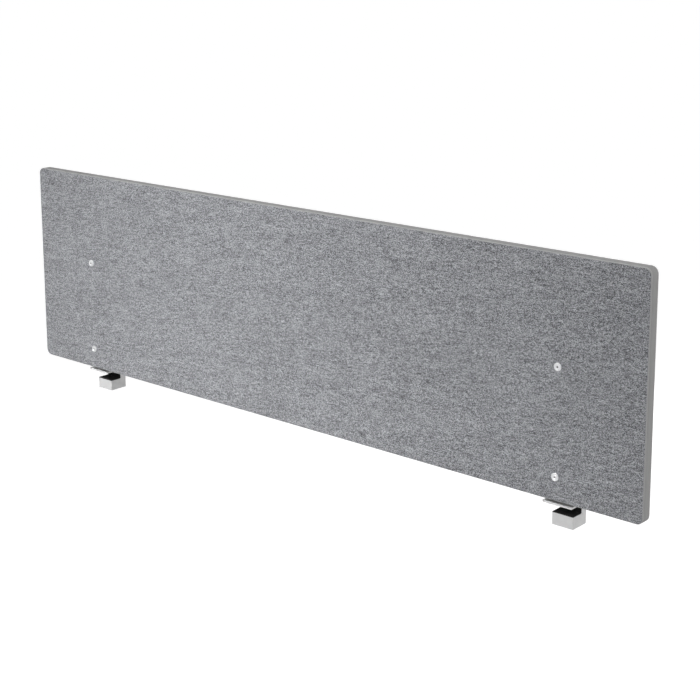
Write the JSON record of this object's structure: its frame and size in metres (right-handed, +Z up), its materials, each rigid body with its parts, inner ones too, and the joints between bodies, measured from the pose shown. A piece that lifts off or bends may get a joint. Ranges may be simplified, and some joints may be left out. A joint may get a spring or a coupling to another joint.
{
  "type": "desk divider screen",
  "caption": "Long low felt-faced privacy screen held on the rear edge of a desk top by screw clamps with a sliding lower jaw.",
  "frame": {"origin": "middle of the screen's length, on the line where the desk's upper face meets its rear edge", "axes": "+X along the screen to the right of the person at the desk, -Y towards that person, +Z up"},
  "size_m": [1.8, 0.0811, 0.5641],
  "materials": {
    "felt": "mottled grey felt",
    "core": "smooth pressed fibre, cut edge",
    "bracket": "satin light grey powder coat",
    "jaw": "die cast, satin light grey",
    "tongue": "plain machined",
    "screws": "bright zinc plated",
    "rubber": "matt black"
  },
  "bodies": {
    "frame": {"panel_core": "core", "front_felt": "felt", "back_felt": "felt", "left_lower_panel_screw": "screws", "left_lower_cap_nut": "screws", "left_upper_panel_screw": "screws", "left_upper_cap_nut": "screws", "left_upright": "bracket", "left_weld_beads": "bracket", "left_top_plate": "bracket", "left_plate_pad": "rubber", "left_guide_tongue": "tongue", "left_tongue_screws": "screws", "right_lower_panel_screw": "screws", "right_lower_cap_nut": "screws", "right_upper_panel_screw": "screws", "right_upper_cap_nut": "screws", "right_upright": "bracket", "right_weld_beads": "bracket", "right_top_plate": "bracket", "right_plate_pad": "rubber", "right_guide_tongue": "tongue", "right_tongue_screws": "screws"},
    "left_jaw": {"left_lower_jaw": "jaw", "left_jaw_pad": "rubber", "left_stop_pad": "rubber"},
    "left_bolt": {"left_clamp_bolt": "screws", "left_retaining_ring": "screws"},
    "right_jaw": {"right_lower_jaw": "jaw", "right_jaw_pad": "rubber", "right_stop_pad": "rubber"},
    "right_bolt": {"right_clamp_bolt": "screws", "right_retaining_ring": "screws"}
  },
  "joints": [
    {"name": "left_bolt_turn", "type": "hinge", "parent": "left_jaw", "child": "left_bolt", "pos_m": [-0.702, 0.01, -0.0445], "axis": [0, 0, 1], "range_deg": [-5220, 1980]},
    {"name": "left_jaw_slide", "type": "slide", "parent": "frame", "child": "left_jaw", "axis": [0, 0, 1], "range_m": [-0.0145, 0.0055]},
    {"name": "right_bolt_turn", "type": "hinge", "parent": "right_jaw", "child": "right_bolt", "pos_m": [0.702, 0.01, -0.0445], "axis": [0, 0, 1], "range_deg": [-5220, 1980]},
    {"name": "right_jaw_slide", "type": "slide", "parent": "frame", "child": "right_jaw", "axis": [0, 0, 1], "range_m": [-0.0145, 0.0055]}
  ],
  "couplings": [
    {"joint": "left_bolt_turn", "follows": "left_jaw_slide", "rad_per_m": 6283.2},
    {"joint": "right_bolt_turn", "follows": "right_jaw_slide", "rad_per_m": 6283.2}
  ]
}
